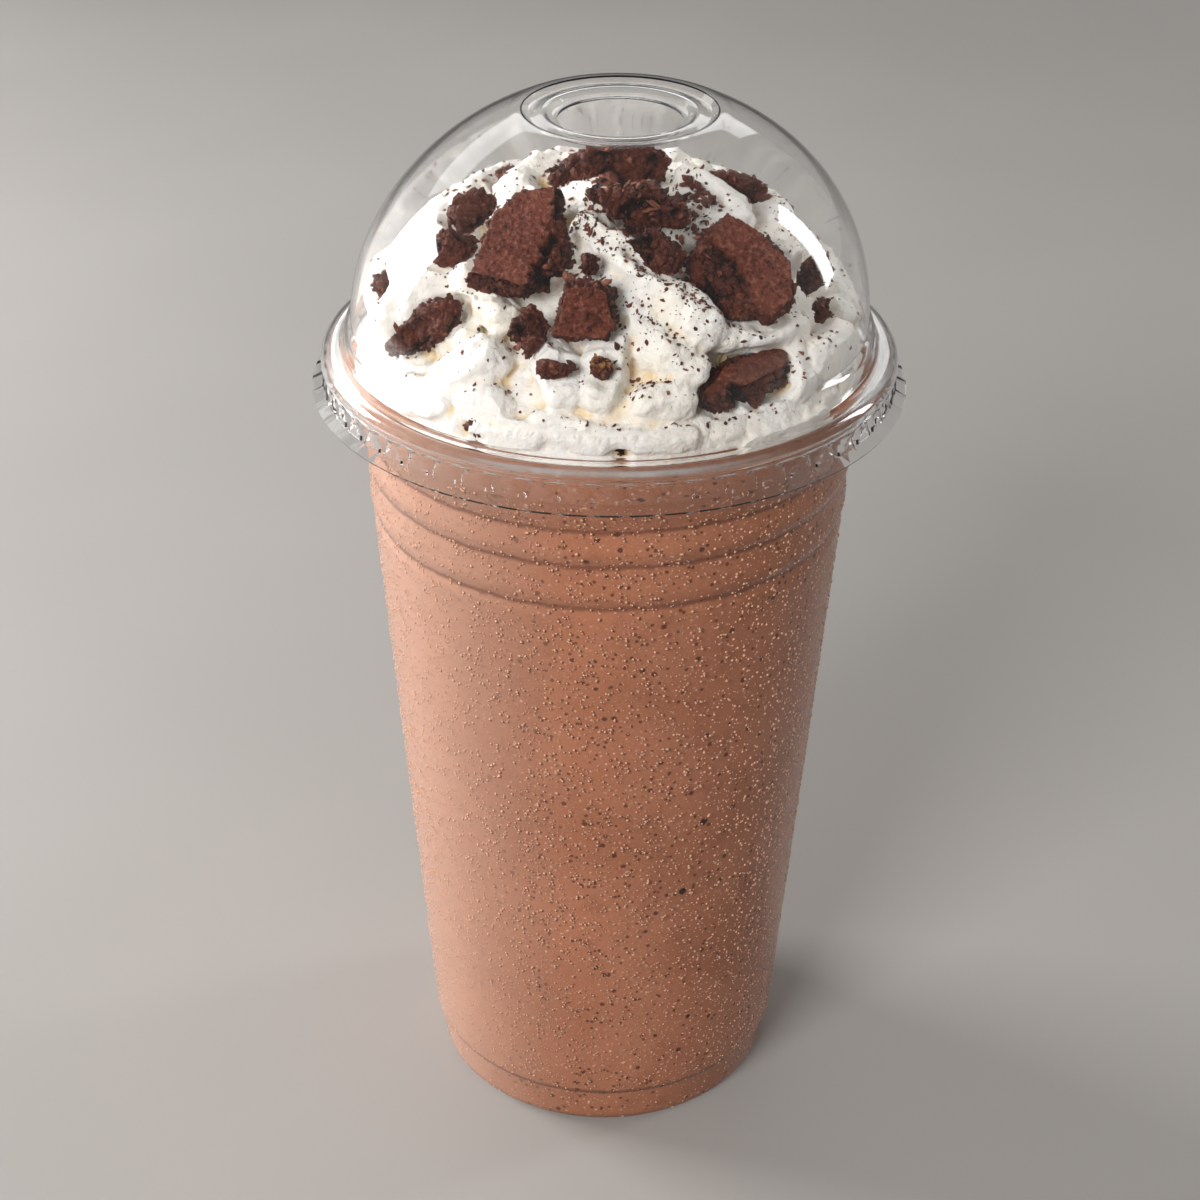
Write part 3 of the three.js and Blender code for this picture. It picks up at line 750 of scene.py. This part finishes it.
def relax(thing, factor, times):
    """Smooths a mesh."""
    modifier = thing.modifiers.new("relax", "SMOOTH")
    modifier.factor = factor
    modifier.iterations = times
    settle(thing)


def vertex_arrays(mesh):
    """The places and normals of a mesh's vertices."""
    places = np.empty(len(mesh.vertices) * 3)
    mesh.vertices.foreach_get("co", places)
    normals = np.empty(len(mesh.vertices) * 3)
    mesh.vertices.foreach_get("normal", normals)
    return places.reshape(-1, 3), normals.reshape(-1, 3)


def set_places(mesh, places):
    """Moves a mesh's vertices."""
    mesh.vertices.foreach_set("co", places.ravel())
    mesh.update()


def set_attribute(mesh, name, values):
    """Stores a number for each vertex, for the materials."""
    attribute = mesh.attributes.new(name, "FLOAT", "POINT")
    attribute.data.foreach_set("value", np.asarray(values, np.float32))


def waves(places, scale, octaves=3, seed=0.0):
    """Layered noise at each place, about -1 to 1. scale is in waves per millimetre."""
    shift = Vector((seed, seed * 0.7, -seed))
    return np.array(
        [noise.fractal(Vector(p) / MM * scale + shift, 1.0, 2.0, octaves) for p in places]
    )


def heap_height(x, y):
    """Height of the heap of cream over the point x, y."""
    reach = min(1, (x * x + y * y) / CREAM_RADIUS**2)
    return CREAM_FOOT + CREAM_BRIM + CREAM_RISE * (1 - reach) ** HEAP_FULLNESS


def curve_through(points, step):
    """Evenly spaced places on a smooth curve through the points, with its directions."""
    ends = [2 * points[0] - points[1], *points, 2 * points[-1] - points[-2]]
    dense = []
    for i in range(1, len(ends) - 2):
        before, start, end, after = ends[i - 1 : i + 3]
        for t in np.linspace(0, 1, 24, endpoint=False):
            place = 2 * start
            place = place + (end - before) * t
            place = place + (2 * before - 5 * start + 4 * end - after) * t**2
            place = place + (3 * start - before - 3 * end + after) * t**3
            dense.append(0.5 * place)
    dense.append(points[-1])
    dense = np.array(dense)
    lengths = np.concatenate([[0], np.cumsum(np.linalg.norm(np.diff(dense, axis=0), axis=1))])
    count = max(6, int(lengths[-1] / step))
    stations = np.linspace(0, lengths[-1], count)
    line = np.stack([np.interp(stations, lengths, dense[:, i]) for i in range(3)], 1)
    along = np.gradient(line, axis=0)
    along /= np.linalg.norm(along, axis=1)[:, None]
    return line, along, stations


def skin_of_rings(rows, columns):
    """The faces of a tube of rings of vertices, closed at both ends."""
    faces = []
    for row in range(rows - 1):
        low = row * columns
        high = low + columns
        for k in range(columns):
            after = (k + 1) % columns
            faces.append((low + k, low + after, high + after, high + k))
    faces.append(tuple(range(columns))[::-1])
    last = (rows - 1) * columns
    faces.append(tuple(range(last, last + columns)))
    return faces


def rope(points, radius):
    """A piped rope of cream with round ends and the faint grooves of its nozzle."""
    raised = [np.array((x, y, heap_height(x, y) + lift)) for x, y, lift in points]
    line, along, stations = curve_through(raised, ROPE_STEP)
    length = stations[-1]
    end_gap = np.minimum(stations, length - stations)
    cap = np.clip(end_gap / radius, 0.02, 1)
    girth = radius * np.sqrt(1 - (1 - cap) ** 2)
    vertices = []
    for place, ahead, size, station in zip(line, along, girth, stations):
        side = np.cross((0, 0, 1), ahead)
        side /= np.linalg.norm(side)
        over = np.cross(ahead, side)
        for k in range(ROPE_SIDES):
            angle = math.tau * k / ROPE_SIDES
            turned = ROPE_GROOVES * angle + GROOVE_TWIST * station
            groove = 1 + GROOVE_DEPTH * math.cos(turned)
            ring = side * math.cos(angle) + over * math.sin(angle)
            vertices.append(place + ring * size * groove)
    return vertices, skin_of_rings(len(line), ROPE_SIDES)


def coil_points(radius, lift, turns, start):
    """Points of a wavy rope that winds part of the way round the heap."""
    points = []
    steps = round(9 * turns)
    for i in range(steps + 1):
        angle = start + math.tau * turns * i / steps
        reach = radius + 1.1 * math.sin(3 * angle + radius)
        points.append((reach * math.cos(angle), reach * math.sin(angle), lift))
    return points


def heap_core():
    """The smooth body of the heap, under the ropes."""
    outline = [(0, CREAM_FOOT), (CREAM_RADIUS - 0.4, CREAM_FOOT)]
    for share in np.linspace(0.975, 0, 14):
        radius = CREAM_RADIUS * share
        sunk = 4.5 * (1 - share**4)
        outline.append((radius, heap_height(radius, 0) - sunk))
    vertices = []
    for radius, height in outline:
        reach = max(radius, 0.01)
        for k in range(HEAP_COLUMNS):
            angle = math.tau * k / HEAP_COLUMNS
            vertices.append((reach * math.cos(angle), reach * math.sin(angle), height))
    return vertices, skin_of_rings(len(outline), HEAP_COLUMNS)


def keep_under_lid(places):
    """Pushes places in millimetres back into the room under the lid."""
    centre = np.array((0, 0, DOME_FOOT))
    scaled = (places - centre) / (CREAM_ROOM, CREAM_ROOM, DOME_RISE - CREAM_HEADROOM)
    reach = np.linalg.norm(scaled, axis=1)
    outside = (reach > 1) & (places[:, 2] > DOME_FOOT)
    places[outside] = centre + (places - centre)[outside] / reach[outside, None]
    radius = np.hypot(places[:, 0], places[:, 1])
    limit = np.where(places[:, 2] > DOME_FOOT - 1, CREAM_ROOM, CREAM_RADIUS)
    wide = radius > limit
    places[wide, :2] *= (limit / np.maximum(radius, 1))[wide, None]
    return places


def neighbour_mean(edges, places, times):
    """The places after smoothing them over their neighbours a number of times."""
    count = len(places)
    degree = np.bincount(edges.ravel(), minlength=count)[:, None]
    for _ in range(times):
        total = np.zeros_like(places)
        for axis in range(3):
            total[:, axis] = np.bincount(edges[:, 0], places[edges[:, 1], axis], count)
            total[:, axis] += np.bincount(edges[:, 1], places[edges[:, 0], axis], count)
        places = 0.5 * places + 0.5 * total / np.maximum(degree, 1)
    return places


def mesh_edges(mesh):
    """The two vertices of each edge."""
    edges = np.empty(len(mesh.edges) * 2, int)
    mesh.edges.foreach_get("vertices", edges)
    return edges.reshape(-1, 2)


def piped_parts():
    """The heap's body, its ropes and its coils, joined in one list of vertices and of faces."""
    parts = [heap_core()]
    for points, radius in CREAM_ROPES:
        parts.append(rope(points, radius))
    for radius, thickness, lift, turns, start in CREAM_COILS:
        parts.append(rope(coil_points(radius, lift, turns, start), thickness))
    vertices = []
    faces = []
    for part_vertices, part_faces in parts:
        first = len(vertices)
        vertices += list(part_vertices)
        faces += [[first + v for v in face] for face in part_faces]
    return np.array(vertices), faces


def cream_piece(material, near_pieces):
    """The heap of cream, with its ropes melted together and pressed in round the cookies."""
    vertices, faces = piped_parts()
    thing = new_object("whipped_cream_detailed", vertices * MM, faces, material)
    remesh(thing, CREAM_FACE)
    relax(thing, 0.5, 2)
    mesh = thing.data
    places, normals = vertex_arrays(mesh)
    folds = np.abs(waves(places, 0.075, 2, 3.1)) - 0.3
    puffs = np.abs(waves(places, 0.21, 3, 8.4)) - 0.25
    lift = 0.8 * folds + 0.8 * puffs + 0.26 * waves(places, 0.6, 3, 5.2)
    lift *= smoothstep(CREAM_FOOT + 0.5, CREAM_FOOT + 2.8, places[:, 2] / MM)
    near = np.array([near_pieces.find(place)[2] for place in places]) / MM
    pressed = 1.3 * (1 - smoothstep(0.3, 2.2, near))
    lift = lift * smoothstep(0.5, 4, near) - pressed
    moved = (places + normals * (lift * MM)[:, None]) / MM
    set_places(mesh, keep_under_lid(moved) * MM)
    places, normals = vertex_arrays(mesh)
    # How far each vertex is sunk below its smoothed neighbours, which sets the painted warm shade
    # in the hollows.
    even = neighbour_mean(mesh_edges(mesh), places, 50)
    hollow = ((even - places) * normals).sum(1) / MM
    set_attribute(mesh, "hollow", smoothstep(0.12, 1.0, hollow))
    mesh.shade_smooth()
    return thing


def broad_face(mesh):
    """The direction that most of a piece's surface faces, either way."""
    sums = {}
    for face in mesh.polygons:
        key = max(sums, key=lambda k: abs(k.dot(face.normal)), default=None)
        if key is None or abs(key.dot(face.normal)) < 0.93:
            sums[face.normal.copy().freeze()] = face.area
        else:
            sums[key] += face.area
    return np.array(max(sums, key=sums.get))


def grains(places, size, seed):
    """Height from 0 to 1 of packed grains of a size in millimetres, 0 in the gaps."""
    shift = Vector((seed, -seed, seed * 0.6))
    heights = np.empty(len(places))
    for i, place in enumerate(places):
        gaps, centres = noise.voronoi(Vector(place) / MM / size + shift)
        tall = 0.65 + 0.35 * noise.noise(centres[0] * 3.7)
        heights[i] = tall * min(1, (gaps[1] - gaps[0]) * 2.6) ** 0.5
    return heights


def cookie_body(node, seed, skin):
    """A broken cookie piece: crumbly all over, apart from what is left of its baked skin.
    skin holds how much of it there is, and the direction and place where it ends. Also gives,
    for each vertex, how whole the skin is and how high it stands, which sets its painted light and
    shade."""
    share, toward, reach = skin
    thing = copy_of_node(node, node + "_detailed")
    facing = broad_face(thing.data)
    remesh(thing, COOKIE_FACE)
    relax(thing, 0.5, 1)
    mesh = thing.data
    places, normals = vertex_arrays(mesh)
    middle = places.mean(0)
    along = (places - middle) @ np.array(toward) / MM
    ragged = along + 2.2 * waves(places, 0.16, 3, seed) + 0.7 * waves(places, 0.9, 2, seed + 2)
    whole = smoothstep(reach - 0.25, reach + 0.25, ragged)
    flat = share * smoothstep(0.86, 0.94, np.abs(normals @ facing)) * whole
    broad = waves(places, 0.17, 2, seed + 5)
    pits = smoothstep(0.12, 0.5, waves(places, 0.22, 2, seed + 11))
    coarse = grains(places, 1.9, seed)
    fine = grains(places, 0.8, seed + 3)
    crag = 0.9 * broad + 1.15 * (coarse - 0.75) + 0.45 * (fine - 0.6) - 1.7 * pits - 0.1
    smooth = 0.22 * broad + 0.22 * (fine - 0.6)
    lift = np.clip((1 - flat) * crag + flat * smooth, -2.6, 0.5)
    set_places(mesh, places + normals * (lift * MM)[:, None])
    # How high each vertex stands, which the material turns into painted shade low down and painted
    # highlights high up.
    rise = smoothstep(-1.9, 0.2, lift) * (0.35 + 0.65 * fine)
    return thing, flat, rise


def with_lumps(thing, flat, rise, material, draw):
    """The piece with small lumps on its crumbly parts, all in one mesh."""
    mesh = thing.data
    places, normals = vertex_arrays(mesh)
    shapes = crumb_shapes(LUMP_SHAPES, draw)
    vertices = [tuple(p) for p in places]
    faces = [list(face.vertices) for face in mesh.polygons]
    smooth = [True] * len(faces)
    flats = list(flat)
    rises = list(rise)
    crumbly = np.flatnonzero(flat < 0.35)
    for _ in range(int(len(crumbly) * LUMP_SHARE)):
        spot = int(draw.choice(crumbly))
        size = 0.35 + 1.2 * draw.random() ** 3
        points, lump_faces = draw.choice(shapes)
        turn = Matrix.Rotation(draw.uniform(0, math.tau), 3, Vector(normals[spot]))
        place = places[spot] + normals[spot] * size * 0.1 * MM
        start = len(vertices)
        shade = draw.uniform(0.25, 0.9)
        for point in points:
            vertices.append(tuple(Vector(place) + turn @ Vector(point) * size * MM))
            flats.append(0.0)
            rises.append(shade)
        faces += [[start + v for v in face] for face in lump_faces]
        smooth += [False] * len(lump_faces)
    name = thing.name
    bpy.data.objects.remove(thing)
    made = new_object(name, vertices, faces, material)
    made.data.polygons.foreach_set("use_smooth", smooth)
    set_attribute(made.data, "flat", flats)
    set_attribute(made.data, "rise", rises)
    return made


def crumb_shapes(count, draw):
    """A few uneven small lumps to be copied as crumbs."""
    shapes = []
    for _ in range(count):
        lump = bmesh.new()
        bmesh.ops.create_icosphere(lump, subdivisions=1, radius=0.5)
        for vertex in lump.verts:
            vertex.co *= draw.uniform(0.45, 1.3)
        stretch = [draw.uniform(low, high) for low, high in ((0.7, 1.9), (0.5, 1.0), (0.3, 0.8))]
        points = [[v.co[i] * stretch[i] for i in range(3)] for v in lump.verts]
        shapes.append((np.array(points), [[v.index for v in f.verts] for f in lump.faces]))
        lump.free()
    return shapes


def scattered(name, spots, shapes, material, draw):
    """Joins a small shape at every (place, normal, size) into one mesh."""
    vertices = []
    faces = []
    shades = []
    for place, normal, size in spots:
        points, shape_faces = draw.choice(shapes)
        spin = Matrix.Rotation(draw.uniform(0, math.tau), 3, "Z")
        turn = normal.to_track_quat("Z", "Y").to_matrix() @ spin
        start = len(vertices)
        for point in points:
            vertices.append(place + turn @ Vector(point) * size * MM)
        faces += [[start + v for v in face] for face in shape_faces]
        shades += [draw.uniform(0.35, 1.0)] * len(points)
    thing = new_object(name, vertices, faces, material)
    set_attribute(thing.data, "rise", shades)
    return thing


def crumb_spots(surface, pieces, draw):
    """Where crumbs lie on the cream, and a few of them on the pieces of cookie."""
    down = Vector((0, 0, -1))
    graph = bpy.context.evaluated_depsgraph_get()
    tree = BVHTree.FromObject(surface, graph)
    trees = [BVHTree.FromObject(piece, graph) for piece in pieces]
    spots = []
    for x, y, spread, count, largest in CRUMB_CLOUDS + CRUMB_HEAPS:
        piled = largest > PILED_FROM
        power = 1.2 if piled else 2.4
        for _ in range(count):
            start = Vector((draw.gauss(x, spread), draw.gauss(y, spread), FALL_HEIGHT)) * MM
            share = draw.random()
            if math.hypot(start.x, start.y) > CREAM_ROOM * MM:
                continue
            place, normal, _, _ = tree.ray_cast(start, down)
            if place is None:
                continue
            on_piece = False
            for piece in trees:
                hit, hit_normal, _, _ = piece.ray_cast(start, down)
                if hit is not None and hit.z > place.z:
                    place, normal, on_piece = hit, hit_normal, True
            size = SMALLEST_CRUMB + (largest - SMALLEST_CRUMB) * share**power
            if on_piece and not piled and share > 0.12:
                continue
            if place.z < (CREAM_FOOT + 0.4) * MM:
                continue
            spots.append((place + normal * size * 0.15 * MM, normal, size))
    return spots


def drop_shape():
    """A flat drop with a few sides, one unit across."""
    points = [(0, 0, 0.34)]
    for k in range(DROP_SIDES):
        angle = math.tau * k / DROP_SIDES
        points.append((0.5 * math.cos(angle), 0.5 * math.sin(angle), -0.02))
    faces = [(0, 1 + k, 1 + (k + 1) % DROP_SIDES) for k in range(DROP_SIDES)]
    faces.append(tuple(range(1, 1 + DROP_SIDES))[::-1])
    return np.array(points), faces


def dew_spots(draw):
    """Small drops all over the outside of the cup's wall, fewer on its foot."""
    spots = []
    slope = (BODY_HIGH[0] - BODY_LOW[0]) / (BODY_HIGH[1] - BODY_LOW[1])
    for _ in range(DEW_DROPS):
        height = draw.uniform(DEW_LOW, DEW_HIGH)
        if height < BODY_LOW[1] + 0.4 and draw.random() < 0.7:
            continue
        angle = draw.uniform(0, math.tau)
        if height < FOOT_STEP_HEIGHT:
            share = height / FOOT_STEP_HEIGHT
            radius = FOOT_RADIUS + (FOOT_STEP_RADIUS - FOOT_RADIUS) * share
        else:
            radius = outside_radius(height)
        normal = Vector((math.cos(angle), math.sin(angle), -slope)).normalized()
        place = Vector((radius * math.cos(angle), radius * math.sin(angle), height)) * MM
        size = 0.26 + 0.42 * draw.random() ** 2.5
        size *= 0.75 + 0.25 * smoothstep(20, 60, height)
        spots.append((place, normal, size))
    return spots


# The scene


def camera():
    """The camera where the photograph was taken from."""
    data = bpy.data.cameras.new("camera")
    data.sensor_width = SENSOR_WIDTH
    data.lens = FOCAL_PIXELS / FRAME_PIXELS * SENSOR_WIDTH
    thing = bpy.data.objects.new("camera", data)
    bpy.context.scene.collection.objects.link(thing)
    pitch = math.radians(CAMERA_PITCH)
    roll = math.radians(CAMERA_ROLL)
    ahead = Vector((0, math.cos(pitch), -math.sin(pitch)))
    side = Vector((1, 0, 0))
    up = side.cross(ahead)
    right = math.cos(roll) * side + math.sin(roll) * up
    top = -math.sin(roll) * side + math.cos(roll) * up
    placed = Matrix((right, top, -ahead)).transposed().to_4x4()
    placed.translation = Vector(CAMERA_PLACE) * MM
    thing.matrix_world = placed
    bpy.context.scene.camera = thing


def softbox(name, direction, distance, size, power, mirrored=True):
    """A soft lamp in a direction from the cup's upper half, facing it. Sizes are in metres."""
    data = bpy.data.lights.new(name, "AREA")
    data.shape = "RECTANGLE"
    data.size, data.size_y = size
    data.energy = power
    thing = bpy.data.objects.new(name, data)
    bpy.context.scene.collection.objects.link(thing)
    away = Vector(direction).normalized()
    thing.location = Vector(LAMP_TARGET) + away * distance
    thing.rotation_mode = "QUATERNION"
    thing.rotation_quaternion = away.to_track_quat("Z", "Y")
    thing.visible_glossy = mirrored
    thing.visible_transmission = mirrored


def lights():
    """A window at the left, strips of light at the right and behind, and a large soft lamp in
    front that the plastic doesn't mirror."""
    softbox("window", (-0.875, 0.40, 0.27), 0.9, (0.42, 0.36), 9.5)
    softbox("right", (0.85, 0.35, 0.3), 1.1, (0.16, 0.6), 2.6)
    softbox("back", (-0.15, 0.8, 0.5), 1.1, (1.5, 0.3), 2.0)
    softbox("sky", (-0.5, -0.85, 0.5), 1.2, (0.5, 0.5), 13.5, mirrored=False)
    world = bpy.data.worlds.new("room")
    world.use_nodes = True
    background = world.node_tree.nodes["Background"]
    background.inputs["Color"].default_value = ROOM_TONE
    background.inputs["Strength"].default_value = ROOM_LIGHT
    bpy.context.scene.world = world
    bpy.context.scene.view_settings.view_transform = "Standard"


def floor():
    """A plain floor that isn't part of the object."""
    around = ((-1, -1), (1, -1), (1, 1), (-1, 1))
    corners = [(x * FLOOR_HALF, y * FLOOR_HALF, 0) for x, y in around]
    thing = new_object("floor", corners, [(0, 1, 2, 3)], floor_material())


camera()
lights()
floor()

draw = random.Random(DRAW_SEED)
cup_clear = clear_plastic("cup_plastic", (0.985, 0.985, 0.985, 1), 0.12)
lid_clear = clear_plastic("lid_plastic", (0.99, 0.99, 0.99, 1), 0.02)

cup = cup_piece(cup_clear)
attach(cup, "root")
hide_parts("cup")

shake = milkshake_piece(milkshake_material())
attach(shake, "root")
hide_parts("milkshake")

lid = lid_piece(lid_clear)
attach(lid, "root")
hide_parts("dome_lid")

cookie = cookie_material("cookie")
glossy_cookie = cookie_material("cookie_glossy", 0.6)
cookies = []
cookie_nodes = sorted(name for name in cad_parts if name.startswith("chunk_"))
for number, node in enumerate(cookie_nodes):
    material = glossy_cookie if node == "chunk_glossy" else cookie
    skin = COOKIE_SKINS.get(node, PLAIN_SKIN)
    body, flat, rise = cookie_body(node, SEED_STEP * number, skin)
    piece = with_lumps(body, flat, rise, material, draw)
    if node == "chunk_bar_end":
        facing_up = vertex_arrays(piece.data)[1][:, 2]
        set_attribute(piece.data, "tan", 0.85 * smoothstep(0.4, 0.8, facing_up))
    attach(piece, "root")
    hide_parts(node)
    cookies.append(piece)

corners = np.concatenate([vertex_arrays(piece.data)[0] for piece in cookies])
near_cookies = KDTree(len(corners))
for number, corner in enumerate(corners):
    near_cookies.insert(corner, number)
near_cookies.balance()
cream = cream_piece(cream_material(), near_cookies)
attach(cream, "root")
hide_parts("whipped_cream")

spots = crumb_spots(cream, cookies, draw)
shapes = crumb_shapes(CRUMB_SHAPES, draw)
crumbs = scattered("cookie_crumbs", spots, shapes, cookie, draw)
crumbs.data.shade_flat()
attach(crumbs, "root")

dew = scattered("dew", dew_spots(draw), [drop_shape()], dew_material(), draw)
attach(dew, "root")
